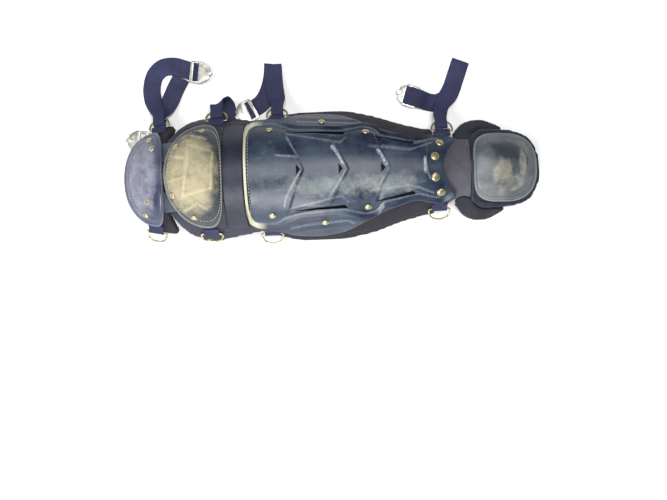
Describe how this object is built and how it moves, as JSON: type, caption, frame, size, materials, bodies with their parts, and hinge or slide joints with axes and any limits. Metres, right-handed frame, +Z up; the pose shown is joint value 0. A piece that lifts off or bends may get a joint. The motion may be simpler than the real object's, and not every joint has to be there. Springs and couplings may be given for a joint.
{
  "type": "catcher leg guard",
  "caption": "Catcher's leg guard lying shell up: hard thigh, knee, shin and toe shells riveted over padded cloth, with D-rings, webbing straps and hook buckles.",
  "frame": {"origin": "middle of the footprint, on the surface that the guard lies on", "axes": "+X along the leg towards the toe plate, +Y across it towards the strap side, +Z up through the shells"},
  "size_m": [0.55, 0.2544, 0.1024],
  "materials": {
    "shin_shell": "moulded polyethylene, scuffed",
    "knee_shell": "moulded polyethylene, dusted with clay",
    "thigh_shell": "moulded polyethylene, worn",
    "toe_shell": "moulded polyethylene, scuffed",
    "liner_cloth": "knitted polyester over foam",
    "knee_vinyl": "coated cloth over foam",
    "band_vinyl": "smooth coated cloth",
    "ankle_mesh": "spacer mesh",
    "hinge_plastic": "flexible polypropylene",
    "webbing": "woven webbing",
    "brass": "plated, a little dull",
    "buckle_metal": "nickel plated"
  },
  "bodies": {
    "root": {"thigh_cup": "thigh_shell", "thigh_pad": "liner_cloth", "hinge_tab_upper": "hinge_plastic", "hinge_tab_lower": "hinge_plastic", "knee_cup": "knee_shell", "knee_pad": "knee_vinyl", "knee_band": "band_vinyl", "shin_plate": "shin_shell", "shin_pad": "liner_cloth", "ankle_panel": "ankle_mesh", "ankle_flap_upper": "liner_cloth", "ankle_flap_lower": "liner_cloth", "toe_pad": "knee_vinyl", "toe_plate": "toe_shell", "rivet_01": "brass", "rivet_02": "brass", "rivet_03": "brass", "rivet_04": "brass", "rivet_05": "brass", "rivet_06": "brass", "rivet_07": "brass", "rivet_08": "brass", "rivet_09": "brass", "rivet_10": "brass", "rivet_11": "brass", "rivet_12": "brass", "rivet_13": "brass", "rivet_14": "brass", "rivet_15": "brass", "rivet_16": "brass", "rivet_17": "brass", "rivet_18": "brass", "ring_thigh_upper": "brass", "ring_knee_upper": "brass", "ring_calf_upper": "brass", "ring_ankle_upper": "brass", "ring_thigh_lower": "brass", "ring_knee_lower": "brass", "ring_calf_lower": "brass", "ring_ankle_lower": "brass", "tab_thigh_upper": "webbing", "tab_knee_upper": "webbing", "tab_calf_upper": "webbing", "tab_ankle_upper": "webbing", "tab_thigh_lower": "webbing", "tab_knee_lower": "webbing", "tab_calf_lower": "webbing", "tab_ankle_lower": "webbing", "strap_thigh": "webbing", "strap_knee": "webbing", "strap_calf": "webbing", "strap_ankle": "webbing", "buckle_thigh": "buckle_metal", "buckle_knee": "buckle_metal", "buckle_calf": "buckle_metal", "buckle_ankle": "buckle_metal"}
  },
  "joints": []
}
